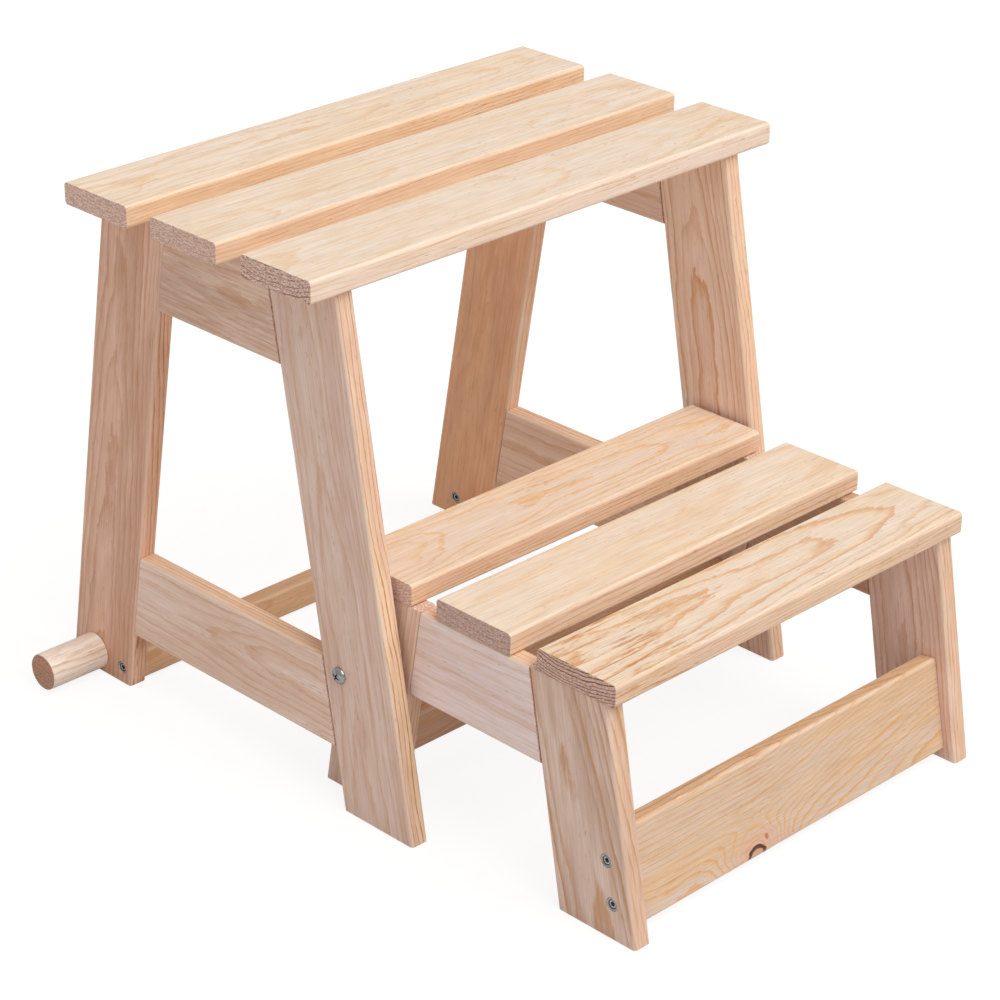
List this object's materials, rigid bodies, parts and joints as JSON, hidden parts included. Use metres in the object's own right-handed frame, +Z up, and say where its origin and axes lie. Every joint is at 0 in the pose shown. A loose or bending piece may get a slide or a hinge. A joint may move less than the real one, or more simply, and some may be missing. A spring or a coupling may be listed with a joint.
{
  "type": "step stool",
  "caption": "Slatted wooden step stool: a splayed A-frame stool with a slatted lower step that pivots on bolts and folds up and over into the frame.",
  "frame": {"origin": "on the floor, at the centre of the footprint with the step unfolded", "axes": "+Z up, +X along the slats, -Y towards the side where the lower step stands"},
  "size_m": [0.5866, 0.6782, 0.4842],
  "materials": {
    "board_pine": "planed, unfinished pale softwood with visible growth rings",
    "peg_pine": "turned, unfinished pale softwood",
    "dowel_pine": "plain glued dowel",
    "screw_zinc": "bright zinc plate",
    "pivot_zinc": "bright zinc plate"
  },
  "bodies": {
    "stool": {"batten_screw_left": "screw_zinc", "batten_screw_right": "screw_zinc", "bottom_rail_left": "board_pine", "bottom_rail_right": "board_pine", "front_leg_left": "board_pine", "front_leg_right": "board_pine", "peg_screw_left": "screw_zinc", "peg_screw_right": "screw_zinc", "pivot_bolt_left": "pivot_zinc", "pivot_bolt_right": "pivot_zinc", "pivot_nut_left": "pivot_zinc", "pivot_nut_right": "pivot_zinc", "pivot_washer_left": "pivot_zinc", "pivot_washer_right": "pivot_zinc", "rear_batten": "board_pine", "rear_leg_left": "board_pine", "rear_leg_right": "board_pine", "side_peg_left": "peg_pine", "side_peg_right": "peg_pine", "top_front_dowel_left": "dowel_pine", "top_front_dowel_right": "dowel_pine", "top_middle_dowel_left": "dowel_pine", "top_middle_dowel_right": "dowel_pine", "top_rail_left": "board_pine", "top_rail_right": "board_pine", "top_rear_dowel_left": "dowel_pine", "top_rear_dowel_right": "dowel_pine", "top_slat_front": "board_pine", "top_slat_middle": "board_pine", "top_slat_rear": "board_pine"},
    "step": {"front_screw_high_left": "screw_zinc", "front_screw_high_right": "screw_zinc", "front_screw_low_left": "screw_zinc", "front_screw_low_right": "screw_zinc", "rear_screw_left": "screw_zinc", "rear_screw_right": "screw_zinc", "step_front_dowel_left": "dowel_pine", "step_front_dowel_right": "dowel_pine", "step_front_leg_left": "board_pine", "step_front_leg_right": "board_pine", "step_front_stretcher": "board_pine", "step_middle_dowel_left": "dowel_pine", "step_middle_dowel_right": "dowel_pine", "step_rail_left": "board_pine", "step_rail_right": "board_pine", "step_rear_dowel_left": "dowel_pine", "step_rear_dowel_right": "dowel_pine", "step_rear_leg_left": "board_pine", "step_rear_leg_right": "board_pine", "step_rear_stretcher": "board_pine", "step_slat_front": "board_pine", "step_slat_middle": "board_pine", "step_slat_rear": "board_pine"}
  },
  "joints": [
    {"name": "step_fold", "type": "hinge", "parent": "stool", "child": "step", "pos_m": [0, -0.0279, 0.1273], "axis": [-1, 0, 0], "range_deg": [0, 180]}
  ]
}
